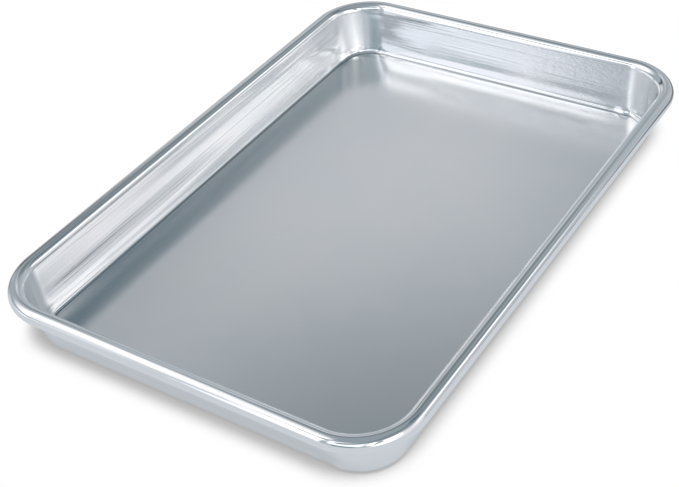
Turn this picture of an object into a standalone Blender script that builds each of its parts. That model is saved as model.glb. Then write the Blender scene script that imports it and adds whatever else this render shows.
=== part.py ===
"""Quarter sheet pan: one pressed aluminium sheet whose edge is rolled round a steel wire.

Metres, +Z up, long side along Y. The origin is the middle of the underside.
A cross-section is measured by its inset, inwards from the rim's outermost line, and its height.
"""

import math

import bmesh
import bpy
from mathutils import Vector

COLLECTION = "quarter_sheet_pan"

# Driving dimensions
PAN_WIDTH = 0.229  # across the rim's outside, the short way
PAN_LENGTH = 0.330  # across the rim's outside, the long way
PAN_HEIGHT = 0.03175  # underside of the floor to the top of the rim
SHEET_THICKNESS = 0.0010
WIRE_DIAMETER = 0.0059
WIRE_CLEARANCE = 0.0003  # all round the wire, inside the rolled rim
RIM_CORNER_RADIUS = 0.0339  # outermost line of the rim, seen from above
WALL_DRAFT = math.radians(9.2)  # lean of the walls from the vertical
BASE_FILLET = 0.0030  # inside radius between floor and wall
CURL_EDGE_GAP = 0.0003  # between the rolled edge and the wall's outer face
WIRE_BUTT_GAP = 0.0015  # between the two ends of the wire

# Fineness of the rounded shapes
CORNER_STEPS = 12
CURL_STEPS = 20
FILLET_STEPS = 5
WIRE_SIDES_RESOLUTION = 4
MERGE_DISTANCE = 0.00001

# Sizes that follow from the driving dimensions
CURL_RADIUS = WIRE_DIAMETER / 2 + WIRE_CLEARANCE + SHEET_THICKNESS
CURL_HEIGHT = PAN_HEIGHT - CURL_RADIUS
CORNER_X = PAN_WIDTH / 2 - RIM_CORNER_RADIUS
CORNER_Y = PAN_LENGTH / 2 - RIM_CORNER_RADIUS
UP = (0.0, 0.0, 1.0)


def clear_scene() -> None:
    """Removes whatever the new file starts with."""
    for found in list(bpy.data.objects):
        bpy.data.objects.remove(found)


def make_collection() -> bpy.types.Collection:
    """Makes the collection that holds the pan's pieces."""
    pieces = bpy.data.collections.new(COLLECTION)
    bpy.context.scene.collection.children.link(pieces)
    return pieces


def metal(name: str, colour: tuple[float, float, float], roughness: float) -> bpy.types.Material:
    """A bare metal with the given colour and roughness."""
    material = bpy.data.materials.new(name)
    material.use_nodes = True
    shader = material.node_tree.nodes["Principled BSDF"]
    shader.inputs["Base Color"].default_value = (*colour, 1.0)
    shader.inputs["Metallic"].default_value = 1.0
    shader.inputs["Roughness"].default_value = roughness
    material.diffuse_color = (*colour, 1.0)
    return material


def fillet_centre() -> tuple[float, float]:
    """Inset and height of the centre of the fillet, which touches both the wall and the floor."""
    height = SHEET_THICKNESS + BASE_FILLET
    from_curl = CURL_RADIUS + BASE_FILLET
    drop = CURL_HEIGHT - height
    inset = CURL_RADIUS + (from_curl + drop * math.sin(WALL_DRAFT)) / math.cos(WALL_DRAFT)
    return inset, height


def curl_end_angle() -> float:
    """Where the rolled edge stops, with its gap to the wall, as an angle round the wire."""
    wall_back = CURL_RADIUS - SHEET_THICKNESS - CURL_EDGE_GAP
    return 2 * math.pi + WALL_DRAFT - math.acos(wall_back / CURL_RADIUS)


def section() -> list[tuple[float, float]]:
    """Inset and height along the upper face of the sheet, from the floor's edge to the rolled edge."""
    fillet_inset, fillet_height = fillet_centre()
    points = []
    for step in range(FILLET_STEPS + 1):
        turn = step / FILLET_STEPS * (math.pi / 2 - WALL_DRAFT)
        inset = fillet_inset - BASE_FILLET * math.sin(turn)
        height = fillet_height - BASE_FILLET * math.cos(turn)
        points.append((inset, height))
    start, end = WALL_DRAFT, curl_end_angle()
    for step in range(CURL_STEPS + 1):
        turn = start + step / CURL_STEPS * (end - start)
        inset = CURL_RADIUS + CURL_RADIUS * math.cos(turn)
        height = CURL_HEIGHT + CURL_RADIUS * math.sin(turn)
        points.append((inset, height))
    return points


def pull_to_middle(mesh: bmesh.types.BMesh, edges: list, travel: Vector) -> None:
    """Runs one end of the corner on, along a straight side, to the plane of symmetry."""
    grown = bmesh.ops.extrude_edge_only(mesh, edges=edges)["geom"]
    moved = [part for part in grown if isinstance(part, bmesh.types.BMVert)]
    bmesh.ops.translate(mesh, vec=travel, verts=moved)


def fill_floor(mesh: bmesh.types.BMesh) -> None:
    """Closes the quarter of the floor that lies inside the fillet."""
    edge = [vert for vert in mesh.verts if abs(vert.co.z - SHEET_THICKNESS) < MERGE_DISTANCE]
    edge.sort(key=lambda vert: math.atan2(vert.co.y, vert.co.x))
    middle = mesh.verts.new((0.0, 0.0, SHEET_THICKNESS))
    mesh.faces.new([middle, *edge])


def make_pan_body(pieces: bpy.types.Collection, material: bpy.types.Material) -> bpy.types.Object:
    """The pressed sheet: floor, walls, round corners and the rolled edge, from a quarter of its upper face."""
    mesh = bmesh.new()
    outline = section()
    verts = [
        mesh.verts.new((CORNER_X + RIM_CORNER_RADIUS - inset, CORNER_Y, height))
        for inset, height in outline
    ]
    side_edges = [mesh.edges.new(pair) for pair in zip(verts, verts[1:])]
    turned = bmesh.ops.spin(
        mesh,
        geom=verts + side_edges,
        cent=(CORNER_X, CORNER_Y, 0.0),
        axis=UP,
        angle=math.pi / 2,
        steps=CORNER_STEPS,
    )["geom_last"]
    end_edges = [part for part in turned if isinstance(part, bmesh.types.BMEdge)]
    pull_to_middle(mesh, side_edges, Vector((0.0, -CORNER_Y, 0.0)))
    pull_to_middle(mesh, end_edges, Vector((-CORNER_X, 0.0, 0.0)))
    fill_floor(mesh)
    bmesh.ops.remove_doubles(mesh, verts=mesh.verts, dist=MERGE_DISTANCE)
    bmesh.ops.recalc_face_normals(mesh, faces=mesh.faces)
    mesh.normal_update()
    floor = max(mesh.faces, key=lambda face: face.calc_area())
    if floor.normal.z < 0:
        bmesh.ops.reverse_faces(mesh, faces=mesh.faces)
    data = bpy.data.meshes.new("pan_body")
    mesh.to_mesh(data)
    mesh.free()
    data.shade_smooth()
    data.set_sharp_from_angle(angle=math.radians(50))
    data.materials.append(material)
    pan_body = bpy.data.objects.new("pan_body", data)
    pieces.objects.link(pan_body)

    halves = pan_body.modifiers.new("other_quarters", "MIRROR")
    halves.use_axis = (True, True, False)
    halves.merge_threshold = MERGE_DISTANCE
    sheet = pan_body.modifiers.new("sheet_thickness", "SOLIDIFY")
    sheet.thickness = SHEET_THICKNESS
    sheet.offset = -1.0
    sheet.use_even_offset = True
    sheet.use_quality_normals = True
    return pan_body


def wire_route() -> list[tuple[float, float]]:
    """Centre line of the wire, from one of its ends round the pan to the other."""
    bend = RIM_CORNER_RADIUS - CURL_RADIUS
    side = PAN_WIDTH / 2 - CURL_RADIUS
    half_gap = WIRE_BUTT_GAP / 2
    corners = [
        (-CORNER_X, CORNER_Y, math.pi),
        (CORNER_X, CORNER_Y, math.pi / 2),
        (CORNER_X, -CORNER_Y, 0.0),
        (-CORNER_X, -CORNER_Y, -math.pi / 2),
    ]
    route = [(-side, half_gap)]
    for centre_x, centre_y, start in corners:
        for step in range(CORNER_STEPS + 1):
            turn = start - step / CORNER_STEPS * math.pi / 2
            route.append((centre_x + bend * math.cos(turn), centre_y + bend * math.sin(turn)))
    route.append((-side, -half_gap))
    return route


def make_rim_wire(pieces: bpy.types.Collection, material: bpy.types.Material) -> bpy.types.Object:
    """The wire that the sheet's edge is rolled round. Its ends butt in the middle of a long side."""
    wire = bpy.data.curves.new("rim_wire", "CURVE")
    wire.dimensions = "3D"
    wire.bevel_depth = WIRE_DIAMETER / 2
    wire.bevel_resolution = WIRE_SIDES_RESOLUTION
    wire.render_resolution_u = 0
    wire.use_fill_caps = True
    route = wire_route()
    spline = wire.splines.new("POLY")
    spline.points.add(len(route) - 1)
    for point, (x, y) in zip(spline.points, route):
        point.co = (x, y, 0.0, 1.0)
    wire.materials.append(material)
    rim_wire = bpy.data.objects.new("rim_wire", wire)
    rim_wire.location = (0.0, 0.0, CURL_HEIGHT)
    pieces.objects.link(rim_wire)
    return rim_wire


def build() -> None:
    """Makes the two pieces of the pan."""
    clear_scene()
    pieces = make_collection()
    make_pan_body(pieces, metal("bare_aluminium", (0.78, 0.80, 0.82), 0.30))
    make_rim_wire(pieces, metal("galvanised_steel", (0.52, 0.54, 0.55), 0.45))


build()
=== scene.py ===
"""The looks of a quarter sheet pan: drawn and rolled bare aluminium in a plain white studio.

Everything is in metres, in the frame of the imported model: +Z up, the long side along Y, the origin
in the middle of the underside. An azimuth of 0 points along +Y and one of 90 along +X.
"""

import logging
import math
from dataclasses import dataclass
from enum import Enum

import bmesh
import bpy
from mathutils import Matrix, Vector

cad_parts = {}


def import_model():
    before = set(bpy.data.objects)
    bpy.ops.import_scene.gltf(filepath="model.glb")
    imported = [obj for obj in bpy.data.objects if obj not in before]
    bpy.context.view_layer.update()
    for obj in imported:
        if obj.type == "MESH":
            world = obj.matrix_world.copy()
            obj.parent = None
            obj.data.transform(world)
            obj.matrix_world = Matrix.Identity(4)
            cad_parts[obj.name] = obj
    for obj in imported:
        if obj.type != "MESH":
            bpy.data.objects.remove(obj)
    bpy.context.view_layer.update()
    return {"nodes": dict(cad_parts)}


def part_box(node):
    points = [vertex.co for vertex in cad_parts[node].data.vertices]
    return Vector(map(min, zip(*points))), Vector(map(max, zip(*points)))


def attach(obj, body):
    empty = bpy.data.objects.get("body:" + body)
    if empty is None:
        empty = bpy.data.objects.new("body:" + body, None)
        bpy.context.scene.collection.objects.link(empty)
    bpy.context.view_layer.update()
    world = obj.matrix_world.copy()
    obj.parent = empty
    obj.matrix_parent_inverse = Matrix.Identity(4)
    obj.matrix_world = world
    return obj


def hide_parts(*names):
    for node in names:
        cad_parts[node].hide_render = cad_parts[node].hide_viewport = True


LOG = logging.getLogger("quarter_sheet_pan")
MERGE_DISTANCE = 0.000002
RISE = "rise"  # the attribute that holds a point's way up the section, from the floor's edge

Colour = tuple[float, float, float]
Socket = bpy.types.NodeSocket
WHITE: Colour = (1.0, 1.0, 1.0)


class SeenBy(Enum):
    """Kinds of ray that a light or a floor can tell apart, as Light Path names them."""

    CAMERA = "Is Camera Ray"
    MIRROR = "Is Glossy Ray"
    GLASS = "Is Transmission Ray"


class Wall(Enum):
    """The four walls, each by the way that it faces from outside."""

    LEFT = (-1.0, 0.0)
    RIGHT = (1.0, 0.0)
    BACK = (0.0, 1.0)
    FRONT = (0.0, -1.0)

    def along(self, place: Vector) -> float:
        """How far along this wall a place lies, from the wall's middle."""
        return place.y if self.value[0] else place.x


def eased(value: float) -> float:
    """Turns a share into one that starts and ends gently."""
    share = min(max(value, 0.0), 1.0)
    return share * share * (3.0 - 2.0 * share)


def direction(azimuth: float, elevation: float) -> Vector:
    """Points towards a place in the studio.

    Args:
        azimuth: Degrees from +Y towards +X.
        elevation: Degrees above the horizon.

    Returns:
        The unit vector.
    """
    turn, lift = math.radians(azimuth), math.radians(elevation)
    level = math.cos(lift)
    return Vector((math.sin(turn) * level, math.cos(turn) * level, math.sin(lift)))


class Nodes:
    """A node tree, with short calls that add nodes and join them."""

    def __init__(self, tree: bpy.types.NodeTree) -> None:
        """Keeps the tree.

        Args:
            tree: The tree to fill.
        """
        self.tree = tree

    def add(self, kind: str, **settings: object) -> bpy.types.Node:
        """Adds a node.

        Args:
            kind: The node's type.
            **settings: Properties of the node.

        Returns:
            The new node.
        """
        node = self.tree.nodes.new(kind)
        for name, value in settings.items():
            setattr(node, name, value)
        return node

    def feed(self, target: Socket, value: object) -> None:
        """Links a socket to an input, or sets the input to a plain value.

        Args:
            target: The input.
            value: A socket, a number, a vector or a colour.
        """
        if isinstance(value, bpy.types.NodeSocket):
            self.tree.links.new(value, target)
        elif target.type == "RGBA" and len(value) == 3:
            target.default_value = (*value, 1.0)
        else:
            target.default_value = value

    def math(self, operation: str, *values: object) -> Socket:
        """Does one step of arithmetic.

        Args:
            operation: The Math node's operation.
            *values: Its inputs, in order.

        Returns:
            The result.
        """
        node = self.add("ShaderNodeMath", operation=operation)
        for target, value in zip(node.inputs, values):
            self.feed(target, value)
        return node.outputs["Value"]

    def total(self, *values: object) -> Socket:
        """The sum of some numbers."""
        result = values[0]
        for value in values[1:]:
            result = self.math("ADD", result, value)
        return result

    def dot(self, first: object, second: object) -> Socket:
        """The dot product of two vectors."""
        node = self.add("ShaderNodeVectorMath", operation="DOT_PRODUCT")
        self.feed(node.inputs[0], first)
        self.feed(node.inputs[1], second)
        return node.outputs["Value"]

    def times(self, first: object, second: object) -> Socket:
        """The product of two vectors, axis by axis."""
        node = self.add("ShaderNodeVectorMath", operation="MULTIPLY")
        self.feed(node.inputs[0], first)
        self.feed(node.inputs[1], second)
        return node.outputs["Vector"]

    def step(self, value: object, start: object, end: object) -> Socket:
        """Rises smoothly from 0 to 1.

        Args:
            value: What is measured.
            start: Where the result is 0.
            end: Where it is 1.

        Returns:
            The result.
        """
        node = self.add("ShaderNodeMapRange", interpolation_type="SMOOTHSTEP")
        self.feed(node.inputs["Value"], value)
        self.feed(node.inputs["From Min"], start)
        self.feed(node.inputs["From Max"], end)
        return node.outputs["Result"]

    def between(self, share: object, first: object, second: object) -> Socket:
        """A number between two others, by the share of the second."""
        node = self.add("ShaderNodeMix", data_type="FLOAT")
        self.feed(node.inputs[0], share)
        self.feed(node.inputs[2], first)
        self.feed(node.inputs[3], second)
        return node.outputs[0]

    def tint(self, share: object, first: object, second: object) -> Socket:
        """A colour between two others, by the share of the second."""
        node = self.add("ShaderNodeMix", data_type="RGBA")
        self.feed(node.inputs[0], share)
        self.feed(node.inputs[6], first)
        self.feed(node.inputs[7], second)
        return node.outputs[2]

    def noise(self, place: Socket, scale: object, detail: float, roughness: float = 0.5) -> Socket:
        """Even noise between 0 and 1.

        Args:
            place: Where it is read.
            scale: How many grains it has in a metre.
            detail: How many finer layers it has.
            roughness: How strong these are.

        Returns:
            The noise.
        """
        node = self.add("ShaderNodeTexNoise")
        self.feed(node.inputs["Vector"], place)
        self.feed(node.inputs["Scale"], scale)
        self.feed(node.inputs["Detail"], detail)
        self.feed(node.inputs["Roughness"], roughness)
        return node.outputs["Fac"]

    def group(self, tree: bpy.types.NodeTree, values: dict[str, object]) -> bpy.types.Node:
        """Places a node group.

        Args:
            tree: The group.
            values: What goes into its inputs, by name.

        Returns:
            The group's node.
        """
        node = self.add("ShaderNodeGroup", node_tree=tree)
        for name, value in values.items():
            self.feed(node.inputs[name], value)
        return node


class Effect:
    """A shader node group, built once and placed wherever it is needed."""

    NAME = ""
    INPUTS: dict[str, str] = {}
    OUTPUTS: dict[str, str] = {}

    @classmethod
    def tree(cls) -> bpy.types.NodeTree:
        """Finds the group, or builds it the first time."""
        found = bpy.data.node_groups.get(cls.NAME)
        if found:
            return found
        tree = bpy.data.node_groups.new(cls.NAME, "ShaderNodeTree")
        for in_out, sockets in (("INPUT", cls.INPUTS), ("OUTPUT", cls.OUTPUTS)):
            for name, kind in sockets.items():
                tree.interface.new_socket(name, in_out=in_out, socket_type="NodeSocket" + kind)
        nodes = Nodes(tree)
        given = nodes.add("NodeGroupInput").outputs
        result = nodes.add("NodeGroupOutput").inputs
        cls.fill(nodes, given, result)
        return tree

    @classmethod
    def fill(cls, nodes: Nodes, given: object, result: object) -> None:
        """Joins the group's inputs to its outputs.

        Args:
            nodes: The group's tree.
            given: Its inputs, by name.
            result: Its outputs, by name.
        """
        raise NotImplementedError


class Cloud(Effect):
    """Slow uneven patches."""

    NAME = "cloud"
    INPUTS = {"Place": "Vector", "Scale": "Float", "Low": "Float", "High": "Float"}
    OUTPUTS = {"Value": "Float"}
    DETAIL = 3.0
    PATCH_EDGE = (0.3, 0.7)  # the noise at which a patch starts, and at which it is full

    @classmethod
    def fill(cls, nodes: Nodes, given: object, result: object) -> None:
        """Spreads soft noise between two values."""
        noise = nodes.noise(given["Place"], given["Scale"], cls.DETAIL)
        patch = nodes.step(noise, *cls.PATCH_EDGE)
        nodes.feed(result["Value"], nodes.between(patch, given["Low"], given["High"]))


class DrawnLines(Effect):
    """Fine lines that run along the pan's sides, left by the drawing and rolling."""

    NAME = "drawn_lines"
    INPUTS = {"Place": "Vector", "Rise": "Float", "Along": "Float", "Across": "Float"}
    OUTPUTS = {"Height": "Float"}
    DETAIL = 3.0
    DETAIL_STRENGTH = 0.6

    @staticmethod
    def stretched(nodes: Nodes, given: object) -> Socket:
        """Packs a place's way up the section tightly, and its way along the sides loosely."""
        apart = nodes.add("ShaderNodeSeparateXYZ")
        nodes.feed(apart.inputs[0], given["Place"])
        joined = nodes.add("ShaderNodeCombineXYZ")
        nodes.feed(joined.inputs["X"], nodes.math("MULTIPLY", apart.outputs["X"], given["Along"]))
        nodes.feed(joined.inputs["Y"], nodes.math("MULTIPLY", apart.outputs["Y"], given["Along"]))
        nodes.feed(joined.inputs["Z"], nodes.math("MULTIPLY", given["Rise"], given["Across"]))
        return joined.outputs[0]

    @classmethod
    def fill(cls, nodes: Nodes, given: object, result: object) -> None:
        """Reads noise that is long along the sides."""
        place = cls.stretched(nodes, given)
        nodes.feed(result["Height"], nodes.noise(place, 1.0, cls.DETAIL, cls.DETAIL_STRENGTH))


class Grooves(DrawnLines):
    """A few long hair grooves, each dragged by a grain of dirt on the die."""

    NAME = "grooves"
    INPUTS = {**DrawnLines.INPUTS, "Width": "Float"}
    MIDDLE = 0.5  # the noise along whose level lines the grooves run

    @classmethod
    def fill(cls, nodes: Nodes, given: object, result: object) -> None:
        """Sinks the surface along the level lines of slow noise."""
        slow = nodes.noise(cls.stretched(nodes, given), 1.0, 0.0)
        apart = nodes.math("ABSOLUTE", nodes.math("SUBTRACT", slow, cls.MIDDLE))
        nodes.feed(result["Height"], nodes.step(apart, 0.0, given["Width"]))


class Scratches(Effect):
    """Short hair scratches that all lie one way."""

    NAME = "scratches"
    INPUTS = {"Place": "Vector", "Turn": "Float", "Scale": "Float", "Share": "Float"}
    OUTPUTS = {"Mask": "Float"}
    STRETCH = (1.0, 0.03, 1.0)  # a scratch runs along Y before it is turned
    DETAIL = 1.0
    HIGHEST = 0.8  # the noise that hardly any crest reaches
    EDGE = 0.06  # how softly a scratch ends

    @classmethod
    def fill(cls, nodes: Nodes, given: object, result: object) -> None:
        """Keeps only the crests of noise that is long one way and thin the other."""
        turned = nodes.add("ShaderNodeVectorRotate", rotation_type="Z_AXIS")
        nodes.feed(turned.inputs["Vector"], given["Place"])
        nodes.feed(turned.inputs["Angle"], given["Turn"])
        thin = nodes.times(turned.outputs[0], cls.STRETCH)
        crest = nodes.noise(thin, given["Scale"], cls.DETAIL)
        start = nodes.math("SUBTRACT", cls.HIGHEST, given["Share"])
        end = nodes.math("ADD", start, cls.EDGE)
        nodes.feed(result["Mask"], nodes.step(crest, start, end))


class PanelMask(Effect):
    """How much of a soft flat panel a direction meets."""

    NAME = "panel_mask"
    INPUTS = {
        "Direction": "Vector",
        "Facing": "Vector",
        "Across": "Vector",
        "Above": "Vector",
        "Half Width": "Float",
        "Half Height": "Float",
        "Softness": "Float",
    }
    OUTPUTS = {"Mask": "Float"}
    LEAST = 0.05  # how far ahead a direction has to point to meet the panel

    @classmethod
    def fill(cls, nodes: Nodes, given: object, result: object) -> None:
        """Lays the direction on the panel's plane and fades out past the panel's edges."""
        ahead = nodes.dot(given["Direction"], given["Facing"])
        depth = nodes.math("MAXIMUM", ahead, cls.LEAST)
        shares = [nodes.math("GREATER_THAN", ahead, cls.LEAST)]
        for axis, half in (("Across", "Half Width"), ("Above", "Half Height")):
            offset = nodes.math("DIVIDE", nodes.dot(given["Direction"], given[axis]), depth)
            outer = nodes.math("ADD", given[half], given["Softness"])
            inner = nodes.math("SUBTRACT", given[half], given["Softness"])
            shares.append(nodes.step(nodes.math("ABSOLUTE", offset), outer, inner))
        both = nodes.math("MULTIPLY", shares[1], shares[2])
        nodes.feed(result["Mask"], nodes.math("MULTIPLY", shares[0], both))


@dataclass(frozen=True)
class SheetForm:
    """Sizes of the pressed sheet, in metres and radians."""

    width: float
    length: float
    height: float
    thickness: float = 0.0010
    curl_radius: float = 0.00425
    corner_radius: float = 0.0339
    draft: float = math.radians(9.2)
    base_fillet: float = 0.0030
    curl_edge_gap: float = 0.00008
    floor_steps: int = 4
    fillet_steps: int = 9
    wall_steps: int = 36
    curl_steps: int = 32
    corner_steps: int = 30
    long_steps: int = 50
    short_steps: int = 34

    @property
    def corner_x(self) -> float:
        """Distance of a corner's turning axis from the middle, the short way."""
        return self.width / 2 - self.corner_radius

    @property
    def corner_y(self) -> float:
        """Distance of a corner's turning axis from the middle, the long way."""
        return self.length / 2 - self.corner_radius

    @property
    def curl_height(self) -> float:
        """Height of the middle of the rolled rim."""
        return self.height - self.curl_radius

    @property
    def wall_rise(self) -> float:
        """Way up the section at which the wall ends and the rolled rim starts."""
        inset, height = self.fillet_centre()
        fillet = self.base_fillet * (math.pi / 2 - self.draft)
        apart = Vector((inset - self.curl_radius, self.curl_height - height)).length
        radii = self.curl_radius + self.base_fillet
        return fillet + math.sqrt(apart**2 - radii**2)

    @property
    def flat_reach(self) -> float:
        """How far the flat floor reaches from a corner's turning axis."""
        return self.corner_radius - self.fillet_centre()[0]

    def fillet_centre(self) -> tuple[float, float]:
        """Inset and height of the centre of the fillet between the floor and the wall."""
        height = self.thickness + self.base_fillet
        drop = self.curl_height - height
        reach = self.curl_radius + self.base_fillet + drop * math.sin(self.draft)
        return self.curl_radius + reach / math.cos(self.draft), height

    def section(self) -> list[tuple[float, float]]:
        """Inset and height along the upper face, from a corner's turning axis to the rolled edge."""
        inset, height = self.fillet_centre()
        points = [
            (self.corner_radius - self.flat_reach * step / self.floor_steps, self.thickness)
            for step in range(self.floor_steps)
        ]
        for step in range(self.fillet_steps + 1):
            turn = step / self.fillet_steps * (math.pi / 2 - self.draft)
            along, up = self.base_fillet * math.sin(turn), self.base_fillet * math.cos(turn)
            points.append((inset - along, height - up))
        foot = Vector(points[-1])
        middle = Vector((self.curl_radius, self.curl_height))
        head = middle + self.curl_radius * Vector((math.cos(self.draft), math.sin(self.draft)))
        for step in range(1, self.wall_steps):
            points.append(tuple(foot.lerp(head, step / self.wall_steps)))
        back = self.curl_radius - self.thickness - self.curl_edge_gap
        end = 2 * math.pi + self.draft - math.acos(back / self.curl_radius)
        for step in range(self.curl_steps + 1):
            turn = self.draft + step / self.curl_steps * (end - self.draft)
            spoke = Vector((math.cos(turn), math.sin(turn)))
            points.append(tuple(middle + self.curl_radius * spoke))
        return points


@dataclass(frozen=True)
class Crease:
    """A long shallow swelling that drawing has left in a wall.

    A place on it is the distance along the wall from the wall's middle, and the height.
    """

    wall: Wall
    start: tuple[float, float]
    end: tuple[float, float]
    swell: tuple[float, float]  # how far it stands into the pan at its start and end
    above: float  # how far it reaches up from its crest
    below: float
    fade: float = 0.1  # share of its length over which it rises and dies out

    def depth(self, along: float, up: float) -> float:
        """How far the wall stands into the pan at a place.

        Args:
            along: Distance along the wall from its middle.
            up: Height.

        Returns:
            The distance, which is less than 0 in a hollow.
        """
        share = (along - self.start[0]) / (self.end[0] - self.start[0])
        crest = self.start[1] + (self.end[1] - self.start[1]) * share
        reach = self.above if up > crest else self.below
        flank = abs(up - crest) / reach
        if flank >= 1.0 or not -self.fade < share < 1.0 + self.fade:
            return 0.0
        swell = self.swell[0] + (self.swell[1] - self.swell[0]) * min(max(share, 0.0), 1.0)
        rise = eased((share + self.fade) / (2 * self.fade))
        fall = eased((1.0 + self.fade - share) / (2 * self.fade))
        return swell * rise * fall * (1.0 - flank**2) ** 2


@dataclass(frozen=True)
class Pucker:
    """A short wave in the foot of a wall, where drawing has gathered the metal near a corner."""

    wall: Wall
    middle: float  # along the wall from the wall's middle
    reach: float  # half its length
    waves: float  # how many half waves lie in its reach
    shift: float  # how far a crest pushes the foot outwards
    top: float = 0.0050  # height at which it has died out

    def push(self, along: float, up: float) -> float:
        """How far the foot stands out at a place.

        Args:
            along: Distance along the wall from its middle.
            up: Height.

        Returns:
            The distance outwards, which is less than 0 where the foot stands in.
        """
        share = (along - self.middle) / self.reach
        if abs(share) >= 1.0 or up >= self.top:
            return 0.0
        wave = math.sin(math.pi * self.waves * share)
        return self.shift * wave * (1.0 - share**2) ** 2 * (1.0 - (up / self.top) ** 2)


class PanSheet:
    """The pressed sheet with its floor, walls, corners and rolled rim."""

    # Most of the numbers of the left and back walls' creases came out of a numeric fit to the
    # photograph's reflections, and a few were then set one by one. The other two walls face away, and
    # their creases are chosen to be much like these.
    CREASES = (
        Crease(Wall.LEFT, (-0.128, 0.0081), (0.004, 0.0073), (0.00083, 0.00048), 0.0091, 0.0110, 0.28),
        Crease(Wall.LEFT, (-0.146, 0.0088), (-0.090, 0.0082), (0.00115, 0.00000), 0.0175, 0.0072, 0.15),
        Crease(Wall.LEFT, (-0.156, 0.0028), (0.169, 0.0032), (0.00013, 0.00033), 0.0035, 0.0025),
        Crease(Wall.LEFT, (-0.048, 0.0220), (0.104, 0.0239), (0.00016, 0.00056), 0.0069, 0.0117, 0.18),
        Crease(Wall.LEFT, (-0.094, 0.0243), (0.106, 0.0256), (0.00002, -0.00036), 0.0040, 0.0036, 0.13),
        Crease(Wall.LEFT, (-0.029, 0.0084), (0.106, 0.0102), (-0.00012, -0.00018), 0.0037, 0.0044, 0.18),
        Crease(Wall.LEFT, (-0.034, 0.0089), (0.108, 0.0101), (0.00009, 0.00006), 0.0041, 0.0032),
        Crease(Wall.LEFT, (-0.155, 0.0036), (0.137, 0.0018), (0.00016, 0.00003), 0.0024, 0.0018),
        Crease(Wall.BACK, (-0.080, 0.0047), (0.077, 0.0055), (0.00060, 0.00067), 0.0073, 0.0035),
        Crease(Wall.BACK, (-0.072, 0.0042), (0.074, 0.0048), (-0.00025, -0.00022), 0.0023, 0.0021),
        Crease(Wall.BACK, (-0.085, 0.0159), (-0.042, 0.0149), (-0.00025, 0.00003), 0.0067, 0.0050, 0.3),
        Crease(Wall.BACK, (-0.093, 0.0287), (-0.031, 0.0254), (0.00045, -0.00013), 0.0050, 0.0063, 0.1),
        Crease(Wall.BACK, (-0.068, 0.0113), (0.072, 0.0121), (0.00008, 0.00008), 0.0029, 0.0026),
        Crease(Wall.RIGHT, (0.128, 0.0080), (-0.020, 0.0095), (0.00060, 0.00020), 0.0080, 0.0080),
        Crease(Wall.RIGHT, (0.030, 0.0220), (-0.150, 0.0180), (0.00025, 0.00045), 0.0080, 0.0100),
        Crease(Wall.RIGHT, (0.120, 0.0060), (-0.125, 0.0065), (-0.00015, -0.00030), 0.0028, 0.0030),
        Crease(Wall.FRONT, (0.080, 0.0060), (-0.075, 0.0068), (0.00045, 0.00025), 0.0065, 0.0040),
        Crease(Wall.FRONT, (0.078, 0.0160), (-0.080, 0.0170), (-0.00025, -0.00010), 0.0070, 0.0050),
    )
    PUCKERS = (
        Pucker(Wall.LEFT, 0.139, 0.015, 1.5, 0.0009),
        Pucker(Wall.LEFT, 0.118, 0.014, 2.0, 0.0002),
        Pucker(Wall.BACK, 0.083, 0.015, 2.5, 0.0006),
        Pucker(Wall.BACK, -0.080, 0.013, 2.0, 0.0003),
        Pucker(Wall.RIGHT, 0.136, 0.015, 1.5, 0.0007),
        Pucker(Wall.FRONT, 0.079, 0.014, 2.0, 0.0005),
    )
    CREASE_FOOT = (0.0012, 0.0030)  # heights between which creases start to show
    CREASE_HEAD = (0.0262, 0.0282)  # heights between which they die out under the rim
    CREASE_CORNER_FADE = 8  # how quickly a crease dies out round a corner
    PUCKER_CORNER_FADE = 2  # the same for a pucker
    FLOOR_FADE = 6  # how quickly a pucker dies out across the floor

    def __init__(self, form: SheetForm) -> None:
        """Keeps the sizes to build from.

        Args:
            form: The sizes of the sheet.
        """
        self.form = form

    def build(self) -> bpy.types.Object:
        """Models the sheet from one quarter of its upper face.

        Returns:
            The sheet's object, linked to the scene.
        """
        mesh = self._quarter()
        for axis in "XY":
            bmesh.ops.mirror(mesh, geom=mesh.verts[:] + mesh.edges[:] + mesh.faces[:], axis=axis)
        bmesh.ops.remove_doubles(mesh, verts=mesh.verts, dist=MERGE_DISTANCE)
        bmesh.ops.recalc_face_normals(mesh, faces=mesh.faces)
        mesh.normal_update()
        middle = min(mesh.faces, key=lambda face: face.calc_center_median().length)
        if middle.normal.z < 0:
            bmesh.ops.reverse_faces(mesh, faces=mesh.faces)
        self._crease(mesh)
        data = bpy.data.meshes.new("pan_sheet")
        mesh.to_mesh(data)
        mesh.free()
        data.shade_smooth()
        sheet = bpy.data.objects.new("pan_sheet", data)
        bpy.context.scene.collection.objects.link(sheet)
        wall = sheet.modifiers.new("thickness", "SOLIDIFY")
        wall.thickness = self.form.thickness
        wall.offset = -1.0
        wall.use_even_offset = True
        wall.use_quality_normals = True
        return sheet

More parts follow.
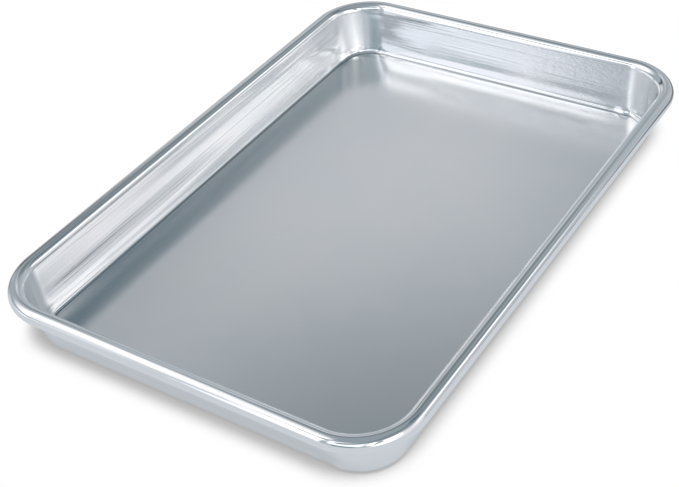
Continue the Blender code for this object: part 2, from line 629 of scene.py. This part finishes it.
    def _quarter(self) -> bmesh.types.BMesh:
        """The quarter of the upper face that lies at +X and +Y."""
        form = self.form
        mesh = bmesh.new()
        rise = mesh.verts.layers.float.new(RISE)
        verts = [
            mesh.verts.new((form.corner_x + form.corner_radius - inset, form.corner_y, height))
            for inset, height in form.section()
        ]
        for last, vert in zip(verts[form.floor_steps :], verts[form.floor_steps + 1 :]):
            vert[rise] = last[rise] + (vert.co - last.co).length
        side = [mesh.edges.new(pair) for pair in zip(verts, verts[1:])]
        turned = bmesh.ops.spin(
            mesh,
            geom=verts + side,
            cent=(form.corner_x, form.corner_y, 0.0),
            axis=(0.0, 0.0, 1.0),
            angle=math.pi / 2,
            steps=form.corner_steps,
        )["geom_last"]
        end = [part for part in turned if isinstance(part, bmesh.types.BMEdge)]
        self._run_on(mesh, side, Vector((0.0, -form.corner_y, 0.0)), form.long_steps)
        self._run_on(mesh, end, Vector((-form.corner_x, 0.0, 0.0)), form.short_steps)
        place = Matrix.Translation((form.corner_x / 2, form.corner_y / 2, form.thickness))
        spread = Matrix.Diagonal((form.corner_x / 2, form.corner_y / 2, 1.0, 1.0))
        bmesh.ops.create_grid(
            mesh,
            x_segments=form.short_steps,
            y_segments=form.long_steps,
            size=1.0,
            matrix=place @ spread,
        )
        bmesh.ops.remove_doubles(mesh, verts=mesh.verts, dist=MERGE_DISTANCE)
        return mesh

    def _crease(self, mesh: bmesh.types.BMesh) -> None:
        """Pushes the walls in and out along their creases, and their feet at the puckers."""
        form = self.form
        foot, top = self.CREASE_FOOT
        neck, head = self.CREASE_HEAD
        rise = mesh.verts.layers.float[RISE]
        for vert in mesh.verts:
            core = Vector((
                min(max(vert.co.x, -form.corner_x), form.corner_x),
                min(max(vert.co.y, -form.corner_y), form.corner_y),
            ))
            spoke = vert.co.xy - core
            if vert[rise] > form.wall_rise or not spoke.length:
                continue
            outward = spoke.normalized()
            up = vert.co.z
            depth = push = 0.0
            for crease in self.CREASES:
                share = max(outward.dot(crease.wall.value), 0.0) ** self.CREASE_CORNER_FADE
                depth += share * crease.depth(crease.wall.along(vert.co), up)
            for pucker in self.PUCKERS:
                share = max(outward.dot(pucker.wall.value), 0.0) ** self.PUCKER_CORNER_FADE
                push += share * pucker.push(pucker.wall.along(vert.co), up)
            depth *= eased((up - foot) / (top - foot)) * eased((head - up) / (head - neck))
            push *= min(spoke.length / form.flat_reach, 1.0) ** self.FLOOR_FADE
            vert.co.xy += (push - depth) * outward

    @staticmethod
    def _run_on(mesh: bmesh.types.BMesh, edges: list, travel: Vector, steps: int) -> None:
        """Runs a row of edges on in equal steps, as a straight side.

        Args:
            mesh: The mesh to grow.
            edges: The edges at the start of the side.
            travel: The whole way that they go.
            steps: How many rows of faces they leave.
        """
        for _ in range(steps):
            grown = bmesh.ops.extrude_edge_only(mesh, edges=edges)["geom"]
            moved = [part for part in grown if isinstance(part, bmesh.types.BMVert)]
            edges = [part for part in grown if isinstance(part, bmesh.types.BMEdge)]
            bmesh.ops.translate(mesh, vec=travel / steps, verts=moved)


@dataclass(frozen=True)
class Relief:
    """One pattern of fine lines: how close it is packed and how deep it goes."""

    along: float
    across: float
    depth: float
    width: float = 0.0

    def height(self, nodes: Nodes, place: Socket, rise: Socket) -> Socket:
        """Adds the pattern to a material.

        Args:
            nodes: The material's tree.
            place: Where it is read.
            rise: The way up the section there.

        Returns:
            Its height in metres.
        """
        group = Grooves if self.width else DrawnLines
        values = {"Place": place, "Rise": rise, "Along": self.along, "Across": self.across}
        if self.width:
            values["Width"] = self.width
        shape = nodes.group(group.tree(), values).outputs["Height"]
        return nodes.math("MULTIPLY", shape, self.depth)


@dataclass(frozen=True)
class BareAluminium:
    """Bare sheet aluminium: satin on the flat floor, brighter where it was drawn or rolled."""

    form: SheetForm
    slot: str = "bare_aluminium"
    colour: Colour = (0.885, 0.885, 0.89)
    dull_colour: Colour = (0.86, 0.87, 0.88)
    floor_roughness: float = 0.20
    fillet_roughness: float = 0.08
    wall_roughness: float = 0.12
    rim_roughness: float = 0.08
    fillet_blend: float = 0.3  # share of the fillet's radius over which its finish sets in
    wall_blend: tuple[float, float] = (1.0, 2.5)  # shares between which the wall's sets in
    rim_blend: tuple[float, float] = (-0.001, 0.002)  # where the rim's does, from the wall's end
    dulling: float = 0.02  # how much rougher the dull patches of the walls are
    corner_dulling: float = 0.07  # and how much rougher the walls of the corners are
    corner_ease: float = 0.012  # half the length over which a side's finish turns into a corner's
    cloud_scale: float = 30.0
    draw_lines: Relief = Relief(9.0, 700.0, 0.000045)
    long_grooves: Relief = Relief(5.0, 260.0, 0.000030, 0.035)
    scuffs: Relief = Relief(300.0, 900.0, 0.000085)
    scuffed_x: tuple[float, float] = (-0.020, 0.030)  # the rubbed half of the back wall
    scuffed_y: tuple[float, float] = (0.135, 0.145)
    scuff_elsewhere: float = 0.12
    scuff_patches: tuple[float, float] = (0.5, 1.0)
    # a painted dark reflection: the thin dark line at the foot of the walls, in this colour between
    # these rises
    painted_foot_line: tuple[float, float, float, float] = (0.0001, 0.0004, 0.0007, 0.0011)
    painted_foot_reflection_colour: Colour = (0.34, 0.38, 0.41)
    grain_stretch: tuple[float, float, float] = (1.0, 0.02, 1.0)
    grain_scale: float = 1500.0
    grain_detail: float = 2.0
    grain_depth: float = 0.0000012

    def build(self) -> bpy.types.Material:
        """Makes the material.

        Returns:
            The material.
        """
        material = bpy.data.materials.new(self.slot)
        material.use_nodes = True
        nodes = Nodes(material.node_tree)
        shader = nodes.tree.nodes["Principled BSDF"]
        shader.inputs["Metallic"].default_value = 1.0
        place = nodes.add("ShaderNodeTexCoord").outputs["Object"]
        rise = nodes.add("ShaderNodeAttribute", attribute_name=RISE).outputs["Fac"]
        radius, top = self.form.base_fillet, self.form.wall_rise
        fillet = nodes.step(rise, 0.0, radius * self.fillet_blend)
        wall = nodes.step(rise, *(radius * share for share in self.wall_blend))
        rim = nodes.step(rise, *(top + way for way in self.rim_blend))
        patch = nodes.group(
            Cloud.tree(), {"Place": place, "Scale": self.cloud_scale, "Low": 0.0, "High": 1.0}
        ).outputs["Value"]
        metal = nodes.tint(patch, self.colour, self.dull_colour)
        # the base colour carries a painted dark reflection along the foot of the walls
        nodes.feed(
            shader.inputs["Base Color"], nodes.tint(self._painted_foot_reflection(nodes, rise), metal, self.painted_foot_reflection_colour)
        )
        rough = nodes.between(fillet, self.floor_roughness, self.fillet_roughness)
        rough = nodes.between(wall, rough, self.wall_roughness)
        rough = nodes.between(rim, rough, self.rim_roughness)
        drawn = nodes.math("SUBTRACT", wall, rim)
        corner = self._corner(nodes, place)
        dull = nodes.total(
            nodes.math("MULTIPLY", patch, self.dulling),
            nodes.math("MULTIPLY", corner, self.corner_dulling),
        )
        rough = nodes.math("ADD", rough, nodes.math("MULTIPLY", dull, drawn))
        nodes.feed(shader.inputs["Roughness"], rough)
        side = nodes.math("SUBTRACT", 1.0, corner)
        lines = nodes.math("MULTIPLY", self.draw_lines.height(nodes, place, rise), fillet)
        grooves = nodes.math("MULTIPLY", self.long_grooves.height(nodes, place, rise), drawn)
        relief = nodes.total(
            nodes.math("MULTIPLY", lines, side),
            nodes.math("MULTIPLY", grooves, side),
            self._scuffing(nodes, place, rise, drawn, patch),
            self._grain(nodes, place, fillet),
        )
        bump = nodes.add("ShaderNodeBump")
        nodes.feed(bump.inputs["Distance"], 1.0)
        nodes.feed(bump.inputs["Height"], relief)
        nodes.feed(shader.inputs["Normal"], bump.outputs["Normal"])
        return material

    def _corner(self, nodes: Nodes, place: Socket) -> Socket:
        """How much of a place belongs to a corner, which is duller and has no draw lines."""
        apart = nodes.add("ShaderNodeSeparateXYZ")
        nodes.feed(apart.inputs[0], place)
        shares = []
        for axis, start in (("X", self.form.corner_x), ("Y", self.form.corner_y)):
            away = nodes.math("ABSOLUTE", apart.outputs[axis])
            shares.append(nodes.step(away, start - self.corner_ease, start + self.corner_ease))
        return nodes.math("MULTIPLY", *shares)

    def _painted_foot_reflection(self, nodes: Nodes, rise: Socket) -> Socket:
        """A painted dark reflection: a thin dark line in the base colour at the foot of the walls."""
        start, inner, outer, end = self.painted_foot_line
        left = nodes.math("SUBTRACT", 1.0, nodes.step(rise, outer, end))
        return nodes.math("MULTIPLY", nodes.step(rise, start, inner), left)

    def _scuffing(
        self, nodes: Nodes, place: Socket, rise: Socket, drawn: Socket, patch: Socket
    ) -> Socket:
        """The scuffs, which are deepest where the back wall is rubbed."""
        apart = nodes.add("ShaderNodeSeparateXYZ")
        nodes.feed(apart.inputs[0], place)
        across = nodes.step(apart.outputs["X"], *self.scuffed_x)
        rubbed = nodes.math("MULTIPLY", across, nodes.step(apart.outputs["Y"], *self.scuffed_y))
        share = nodes.math("MULTIPLY", nodes.between(rubbed, self.scuff_elsewhere, 1.0), drawn)
        uneven = nodes.math("MULTIPLY", share, nodes.between(patch, *self.scuff_patches))
        return nodes.math("MULTIPLY", self.scuffs.height(nodes, place, rise), uneven)

    def _grain(self, nodes: Nodes, place: Socket, fillet: Socket) -> Socket:
        """The faint rolling grain of the floor, which runs the long way."""
        lengthwise = nodes.times(place, self.grain_stretch)
        grain = nodes.noise(lengthwise, self.grain_scale, self.grain_detail)
        flat = nodes.math("SUBTRACT", 1.0, fillet)
        return nodes.math("MULTIPLY", nodes.math("MULTIPLY", grain, self.grain_depth), flat)


@dataclass(frozen=True)
class ZincCoat:
    """Dull galvanised steel wire, with the patches of its zinc coat."""

    slot: str = "galvanised_steel"
    colour: Colour = (0.52, 0.54, 0.55)
    dull_colour: Colour = (0.40, 0.42, 0.43)
    roughness: tuple[float, float] = (0.38, 0.55)
    cloud_scale: float = 250.0
    scratch_scale: float = 2500.0
    scratch_share: float = 0.1

    def build(self) -> bpy.types.Material:
        """Makes the material.

        Returns:
            The material.
        """
        material = bpy.data.materials.new(self.slot)
        material.use_nodes = True
        nodes = Nodes(material.node_tree)
        shader = nodes.tree.nodes["Principled BSDF"]
        shader.inputs["Metallic"].default_value = 1.0
        place = nodes.add("ShaderNodeTexCoord").outputs["Object"]
        patch = nodes.group(
            Cloud.tree(), {"Place": place, "Scale": self.cloud_scale, "Low": 0.0, "High": 1.0}
        ).outputs["Value"]
        scratch = nodes.group(
            Scratches.tree(),
            {
                "Place": place,
                "Turn": 0.0,
                "Scale": self.scratch_scale,
                "Share": self.scratch_share,
            },
        ).outputs["Mask"]
        nodes.feed(shader.inputs["Base Color"], nodes.tint(patch, self.colour, self.dull_colour))
        dull = nodes.between(patch, *self.roughness)
        nodes.feed(shader.inputs["Roughness"], nodes.between(scratch, dull, self.roughness[0]))
        return material


@dataclass(frozen=True)
class SoftPanel:
    """A soft light or a dark card, far off. Its half sizes are shares of its distance."""

    name: str
    azimuth: float
    elevation: float
    turn: float
    half_width: float
    half_height: float
    softness: float
    colour: Colour

    def mask(self, nodes: Nodes, way: Socket) -> Socket:
        """Adds the panel's mask to the world.

        Args:
            nodes: The world's tree.
            way: The direction that is looked in.

        Returns:
            How much of the panel lies that way.
        """
        facing = direction(self.azimuth, self.elevation)
        turned = Matrix.Rotation(-math.radians(self.turn), 3, facing)
        across = turned @ direction(self.azimuth + 90.0, 0.0)
        values = {
            "Direction": way,
            "Facing": facing,
            "Across": across,
            "Above": across.cross(facing),
            "Half Width": self.half_width,
            "Half Height": self.half_height,
            "Softness": self.softness,
        }
        return nodes.group(PanelMask.tree(), values).outputs["Mask"]


@dataclass(frozen=True)
class Studio:
    """The plain studio: a pale room, soft panels and dark cards round it, and a white floor.

    Most of the numbers of the room, the panels and the cards came out of a numeric fit to the
    reflections in one photograph, and a few were then set one by one. They stand for what the pan
    seems to mirror there, not for lamps that were seen. The shadow's numbers came out of another
    fit, to the shadow beside the pan. A later panel covers an earlier one.
    """

    pan_half: tuple[float, float]
    horizon: Colour = (0.80, 0.84, 0.89)
    zenith: Colour = (0.31, 0.36, 0.40)
    zenith_power: float = 0.25
    panels: tuple[SoftPanel, ...] = (
        SoftPanel("right bank", 105.8, 10.7, -38.9, 0.50, 0.33, 0.14, (1.71, 1.69, 1.72)),
        SoftPanel("far right bank", 82.1, 17.7, 14.2, 0.47, 0.36, 0.19, (0.86, 0.86, 0.91)),
        SoftPanel("near right card", 170.8, 23.2, 0.9, 0.26, 0.29, 0.04, (0.12, 0.21, 0.25)),
        SoftPanel("near right lamp", 132.1, 36.8, -72.9, 0.39, 0.07, 0.04, (1.88, 1.86, 1.86)),
        SoftPanel("near lamp", -192.4, 37.8, 6.7, 0.40, 0.36, 0.06, (1.23, 1.29, 1.37)),
        SoftPanel("left bank", -115.9, 34.0, -29.2, 0.28, 0.72, 0.24, (1.19, 1.21, 1.24)),
        SoftPanel("left bank top", -129.6, 54.9, 18.6, 0.11, 0.22, 0.08, (1.50, 1.51, 1.52)),
        SoftPanel("near left lamp", -152.1, 23.9, -3.3, 0.10, 0.39, 0.02, (1.18, 1.21, 1.29)),
        SoftPanel("left bank side", -147.2, 38.3, -17.7, 0.18, 0.04, 0.05, (1.86, 1.85, 1.84)),
        SoftPanel("far left patch", -37.6, 38.5, -26.8, 0.20, 0.08, 0.10, (0.73, 0.74, 0.77)),
        SoftPanel("far left strip", -52.9, 10.7, -5.5, 0.14, 0.15, 0.06, (0.70, 0.72, 0.73)),
        SoftPanel("far left card", -59.4, 21.2, -30.6, 0.06, 0.32, 0.07, (0.06, 0.07, 0.08)),
        SoftPanel("high left card", -45.0, 45.5, -7.8, 0.23, 0.07, 0.06, (0.43, 0.47, 0.50)),
        SoftPanel("high right card", 85.0, 60.0, 0.0, 0.55, 0.13, 0.08, (0.20, 0.25, 0.28)),
        SoftPanel("high right strip", 98.0, 45.5, -9.8, 0.32, 0.05, 0.05, (0.37, 0.43, 0.44)),
        SoftPanel("far right card", 27.5, 48.4, 3.3, 0.12, 0.27, 0.02, (0.09, 0.15, 0.19)),
        SoftPanel("far card", -11.1, 51.2, -11.0, 0.44, 0.15, 0.09, (0.20, 0.24, 0.26)),
        SoftPanel("high near card", 154.8, 49.2, -10.1, 0.43, 0.14, 0.08, (0.25, 0.32, 0.34)),
        SoftPanel("low left card", -106.6, 15.8, -6.0, 0.60, 0.09, 0.05, (0.30, 0.36, 0.40)),
        SoftPanel("low far card", 18.4, 31.5, -0.7, 0.10, 0.30, 0.34, (0.59, 0.64, 0.67)),
        SoftPanel("far right fill", 64.0, 26.0, 0.0, 0.12, 0.15, 0.10, (1.08, 1.08, 1.09)),
        SoftPanel("far right lamp", 49.9, 28.6, 38.9, 0.19, 0.11, 0.10, (1.48, 1.47, 1.47)),
        SoftPanel("right bank core", 103.9, 29.1, -0.4, 0.19, 0.23, 0.06, (1.54, 1.56, 1.57)),
    )
    floor_size: float = 8.0
    floor_drop: float = 0.0003
    floor_colour: float = 0.8
    shadow_reach: float = 0.0147  # how far off the pan can still darken the floor
    shadow_openness: tuple[float, float] = (0.525, 0.965)  # shares of open sky: darkest, unshaded
    shadow_power: float = 1.55
    shadow_levels: tuple[float, float] = (0.44, 1.0)  # how bright the camera sees these two
    shadow_lean: tuple[float, float, float] = (0.655, -0.407, 1.0)  # where the sky is looked for
    mirrored_levels: tuple[float, float] = (0.74, 1.0)  # how bright the pan mirrors them
    mirrored_colour: Colour = (0.67, 0.71, 0.75)
    far_mirrored_colour: Colour = (0.20, 0.22, 0.23)  # left of the pan and behind it
    far_edge: tuple[float, float] = (0.02, 0.06)  # how far outside the pan the floor turns dark

    def build(self) -> None:
        """Makes the world and the floor."""
        self._world()
        self._floor()

    def _world(self) -> None:
        """Surrounds the pan with the room and its panels, and shows the camera plain white."""
        world = bpy.data.worlds.new("studio")
        bpy.context.scene.world = world
        world.use_nodes = True
        nodes = Nodes(world.node_tree)
        nodes.tree.nodes.clear()
        way = nodes.add("ShaderNodeTexCoord").outputs["Generated"]
        apart = nodes.add("ShaderNodeSeparateXYZ")
        nodes.feed(apart.inputs[0], way)
        up = nodes.math("MAXIMUM", apart.outputs["Z"], 0.0)
        colour = nodes.tint(nodes.math("POWER", up, self.zenith_power), self.horizon, self.zenith)
        for panel in self.panels:
            colour = nodes.tint(panel.mask(nodes, way), colour, panel.colour)
        room = nodes.add("ShaderNodeBackground")
        nodes.feed(room.inputs["Color"], colour)
        plain = nodes.add("ShaderNodeBackground")
        nodes.feed(plain.inputs["Color"], WHITE)
        shown = nodes.add("ShaderNodeMixShader")
        seen = nodes.add("ShaderNodeLightPath").outputs[SeenBy.CAMERA.value]
        nodes.feed(shown.inputs[0], seen)
        nodes.feed(shown.inputs[1], room.outputs[0])
        nodes.feed(shown.inputs[2], plain.outputs[0])
        nodes.feed(nodes.add("ShaderNodeOutputWorld").inputs["Surface"], shown.outputs[0])

    def _floor(self) -> None:
        """Lays the white floor, which keeps the pan's shadow."""
        mesh = bmesh.new()
        bmesh.ops.create_grid(mesh, x_segments=1, y_segments=1, size=self.floor_size / 2)
        bmesh.ops.translate(mesh, vec=(0.0, 0.0, -self.floor_drop), verts=mesh.verts)
        data = bpy.data.meshes.new("studio_floor")
        mesh.to_mesh(data)
        mesh.free()
        floor = bpy.data.objects.new("studio_floor", data)
        bpy.context.scene.collection.objects.link(floor)
        data.materials.append(self._floor_paint())

    def _floor_paint(self) -> bpy.types.Material:
        """The floor's material, which glows for the camera and for what the pan mirrors."""
        material = bpy.data.materials.new("white_floor")
        material.use_nodes = True
        nodes = Nodes(material.node_tree)
        nodes.tree.nodes.clear()
        path = nodes.add("ShaderNodeLightPath").outputs
        mirrored = nodes.math("MAXIMUM", path[SeenBy.MIRROR.value], path[SeenBy.GLASS.value])
        plain = nodes.add("ShaderNodeBsdfDiffuse")
        nodes.feed(plain.inputs["Color"], (self.floor_colour,) * 3)
        surface = plain.outputs[0]
        lit = self._lit(nodes)
        for seen, colour, levels in (
            (mirrored, self._mirrored(nodes), self.mirrored_levels),
            (path[SeenBy.CAMERA.value], WHITE, self.shadow_levels),
        ):
            glow = nodes.add("ShaderNodeEmission")
            nodes.feed(glow.inputs["Color"], colour)
            nodes.feed(glow.inputs["Strength"], nodes.between(lit, *levels))
            chosen = nodes.add("ShaderNodeMixShader")
            nodes.feed(chosen.inputs[0], seen)
            nodes.feed(chosen.inputs[1], surface)
            nodes.feed(chosen.inputs[2], glow.outputs[0])
            surface = chosen.outputs[0]
        nodes.feed(nodes.add("ShaderNodeOutputMaterial").inputs["Surface"], surface)
        return material

    def _lit(self, nodes: Nodes) -> Socket:
        """How little the pan shades the floor, from 0 close under its wall to 1 in the open."""
        open_sky = nodes.add("ShaderNodeAmbientOcclusion")
        nodes.feed(open_sky.inputs["Distance"], self.shadow_reach)
        lean = nodes.add("ShaderNodeCombineXYZ")
        for axis, share in zip("XYZ", Vector(self.shadow_lean).normalized()):
            nodes.feed(lean.inputs[axis], share)
        nodes.feed(open_sky.inputs["Normal"], lean.outputs[0])
        lit = nodes.step(open_sky.outputs["AO"], *self.shadow_openness)
        return nodes.math("POWER", lit, self.shadow_power)

    def _mirrored(self, nodes: Nodes) -> Socket:
        """The floor's colour as the pan mirrors it, which is dark to the left and behind."""
        apart = nodes.add("ShaderNodeSeparateXYZ")
        nodes.feed(apart.inputs[0], nodes.add("ShaderNodeTexCoord").outputs["Object"])
        left = nodes.math("SUBTRACT", -self.pan_half[0], apart.outputs["X"])
        behind = nodes.math("SUBTRACT", apart.outputs["Y"], self.pan_half[1])
        far = nodes.step(nodes.math("MAXIMUM", left, behind), *self.far_edge)
        past_front = nodes.math("ADD", apart.outputs["Y"], self.pan_half[1])
        far = nodes.math("MULTIPLY", far, nodes.step(past_front, 0.0, self.far_edge[1]))
        return nodes.tint(far, self.mirrored_colour, self.far_mirrored_colour)


@dataclass(frozen=True)
class StudioCamera:
    """The photograph's viewpoint, fitted to the pan's outlines. Metres, degrees and pixels."""

    place: tuple[float, float, float] = (0.31407, -0.44225, 0.41826)
    azimuth: float = 36.33
    elevation: float = 38.95
    roll: float = -6.11
    focal_pixels: float = 1286.3
    centre_pixels: tuple[float, float] = (352.9, 252.7)
    frame_pixels: tuple[int, int] = (679, 487)
    sensor_width: float = 36.0  # millimetres

    def build(self) -> bpy.types.Object:
        """Makes the camera and gives it to the scene.

        Returns:
            The camera object.
        """
        wide, high = self.frame_pixels
        data = bpy.data.cameras.new("studio_camera")
        data.sensor_width = self.sensor_width
        data.lens = self.focal_pixels / wide * data.sensor_width
        data.shift_x = (wide / 2 - self.centre_pixels[0]) / wide
        data.shift_y = (self.centre_pixels[1] - high / 2) / wide
        camera = bpy.data.objects.new("studio_camera", data)
        back = direction(180.0 - self.azimuth, self.elevation)
        turn = back.to_track_quat("Z", "Y").to_matrix().to_4x4()
        roll = Matrix.Rotation(math.radians(self.roll), 4, "Z")
        camera.matrix_world = Matrix.Translation(self.place) @ turn @ roll
        bpy.context.scene.collection.objects.link(camera)
        bpy.context.scene.camera = camera
        return camera


def main() -> None:
    """Builds the pan and its studio."""
    logging.basicConfig(level=logging.INFO)
    bpy.context.scene.view_settings.view_transform = "Standard"
    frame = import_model()
    StudioCamera().build()
    lowest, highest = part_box("pan_body")
    size = highest - lowest
    Studio((size.x / 2, size.y / 2)).build()
    form = SheetForm(size.x, size.y, size.z)
    sheet = PanSheet(form).build()
    sheet.data.materials.append(BareAluminium(form).build())
    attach(sheet, "root")
    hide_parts("pan_body")
    LOG.info("pressed sheet %.0f by %.0f mm", size.x * 1000, size.y * 1000)
    wire = frame["nodes"]["rim_wire"]
    wire.material_slots[0].material = ZincCoat().build()
    LOG.info("rim wire")


if __name__ == "__main__":
    main()
